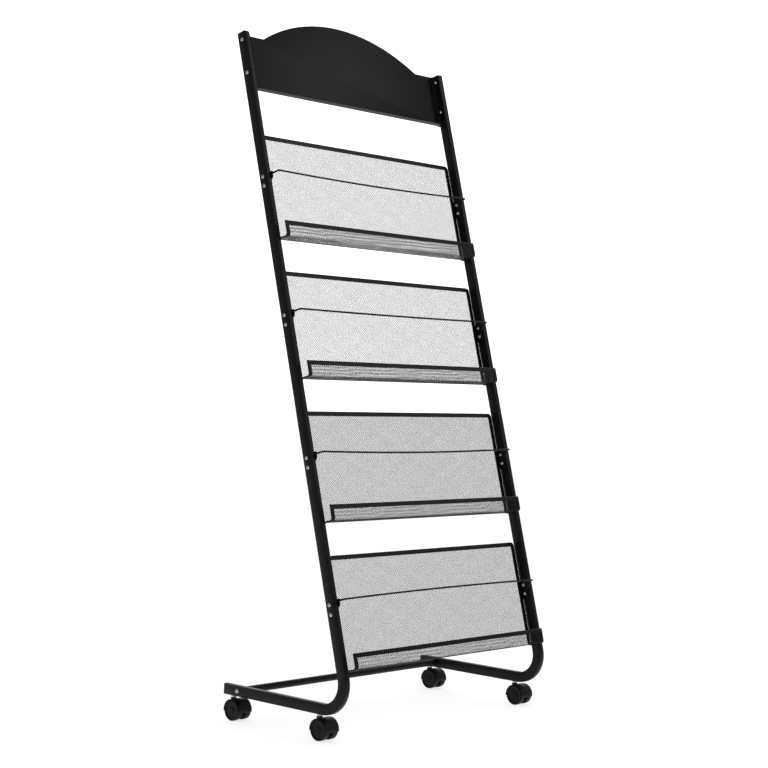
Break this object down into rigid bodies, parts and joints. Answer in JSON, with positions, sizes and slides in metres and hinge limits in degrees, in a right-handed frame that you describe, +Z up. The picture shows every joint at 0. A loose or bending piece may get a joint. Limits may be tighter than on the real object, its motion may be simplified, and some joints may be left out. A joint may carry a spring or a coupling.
{
  "type": "periodical display rack",
  "caption": "Mobile display rack: leaning bent-tube posts on swivel casters carry stacked mesh magazine pockets with guard wires under an arched header sign.",
  "frame": {"origin": "on the floor, under the middle of the rack's width and depth", "axes": "+Z up, +Y towards the back of the rack, +X to the right of someone who faces its front"},
  "size_m": [0.637, 0.3926, 1.4666],
  "materials": {
    "black_paint": "satin black powder coat",
    "mesh_paint": "satin black powder coat on open mesh",
    "header_paint": "matt charcoal powder coat",
    "cap_plastic": "matt black moulded plastic",
    "hood_plastic": "satin black moulded plastic",
    "wheel_plastic": "satin black nylon",
    "zinc": "bright zinc plate"
  },
  "bodies": {
    "frame": {"side_frame_left": "black_paint", "side_frame_right": "black_paint", "post_cap_left": "cap_plastic", "post_cap_right": "cap_plastic", "leg_cap_left": "cap_plastic", "leg_cap_right": "cap_plastic", "rear_crossbar": "black_paint", "crossbar_bolt_left": "zinc", "crossbar_bolt_right": "zinc", "header_sign": "header_paint", "pocket_rim_1": "black_paint", "pocket_mesh_1": "mesh_paint", "bracket_left_1": "black_paint", "bracket_right_1": "black_paint", "guard_wire_1": "black_paint", "pocket_rim_2": "black_paint", "pocket_mesh_2": "mesh_paint", "bracket_left_2": "black_paint", "bracket_right_2": "black_paint", "guard_wire_2": "black_paint", "pocket_rim_3": "black_paint", "pocket_mesh_3": "mesh_paint", "bracket_left_3": "black_paint", "bracket_right_3": "black_paint", "guard_wire_3": "black_paint", "pocket_rim_4": "black_paint", "pocket_mesh_4": "mesh_paint", "bracket_left_4": "black_paint", "bracket_right_4": "black_paint", "guard_wire_4": "black_paint", "stem_front_left": "zinc", "stem_front_right": "zinc", "stem_rear_left": "zinc", "stem_rear_right": "zinc"},
    "caster_front_left": {"hood_front_left": "hood_plastic", "axle_front_left": "zinc"},
    "wheel_a_front_left": {"wheel_a_front_left": "wheel_plastic"},
    "wheel_b_front_left": {"wheel_b_front_left": "wheel_plastic"},
    "caster_front_right": {"hood_front_right": "hood_plastic", "axle_front_right": "zinc"},
    "wheel_a_front_right": {"wheel_a_front_right": "wheel_plastic"},
    "wheel_b_front_right": {"wheel_b_front_right": "wheel_plastic"},
    "caster_rear_left": {"hood_rear_left": "hood_plastic", "axle_rear_left": "zinc"},
    "wheel_a_rear_left": {"wheel_a_rear_left": "wheel_plastic"},
    "wheel_b_rear_left": {"wheel_b_rear_left": "wheel_plastic"},
    "caster_rear_right": {"hood_rear_right": "hood_plastic", "axle_rear_right": "zinc"},
    "wheel_a_rear_right": {"wheel_a_rear_right": "wheel_plastic"},
    "wheel_b_rear_right": {"wheel_b_rear_right": "wheel_plastic"}
  },
  "joints": [
    {"name": "swivel_front_left", "type": "hinge", "parent": "frame", "child": "caster_front_left", "pos_m": [-0.3, -0.11194, 0.0448], "axis": [0, 0, 1], "continuous": true},
    {"name": "roll_a_front_left", "type": "hinge", "parent": "caster_front_left", "child": "wheel_a_front_left", "pos_m": [-0.312, -0.12494, 0.021], "axis": [1, 0, 0], "continuous": true},
    {"name": "roll_b_front_left", "type": "hinge", "parent": "caster_front_left", "child": "wheel_b_front_left", "pos_m": [-0.288, -0.12494, 0.021], "axis": [1, 0, 0], "continuous": true},
    {"name": "swivel_front_right", "type": "hinge", "parent": "frame", "child": "caster_front_right", "pos_m": [0.3, -0.11194, 0.0448], "axis": [0, 0, 1], "continuous": true},
    {"name": "roll_a_front_right", "type": "hinge", "parent": "caster_front_right", "child": "wheel_a_front_right", "pos_m": [0.288, -0.12494, 0.021], "axis": [1, 0, 0], "continuous": true},
    {"name": "roll_b_front_right", "type": "hinge", "parent": "caster_front_right", "child": "wheel_b_front_right", "pos_m": [0.312, -0.12494, 0.021], "axis": [1, 0, 0], "continuous": true},
    {"name": "swivel_rear_left", "type": "hinge", "parent": "frame", "child": "caster_rear_left", "pos_m": [-0.3, 0.13856, 0.0448], "axis": [0, 0, 1], "continuous": true},
    {"name": "roll_a_rear_left", "type": "hinge", "parent": "caster_rear_left", "child": "wheel_a_rear_left", "pos_m": [-0.312, 0.12557, 0.021], "axis": [1, 0, 0], "continuous": true},
    {"name": "roll_b_rear_left", "type": "hinge", "parent": "caster_rear_left", "child": "wheel_b_rear_left", "pos_m": [-0.288, 0.12557, 0.021], "axis": [1, 0, 0], "continuous": true},
    {"name": "swivel_rear_right", "type": "hinge", "parent": "frame", "child": "caster_rear_right", "pos_m": [0.3, 0.13856, 0.0448], "axis": [0, 0, 1], "continuous": true},
    {"name": "roll_a_rear_right", "type": "hinge", "parent": "caster_rear_right", "child": "wheel_a_rear_right", "pos_m": [0.288, 0.12557, 0.021], "axis": [1, 0, 0], "continuous": true},
    {"name": "roll_b_rear_right", "type": "hinge", "parent": "caster_rear_right", "child": "wheel_b_rear_right", "pos_m": [0.312, 0.12557, 0.021], "axis": [1, 0, 0], "continuous": true}
  ]
}
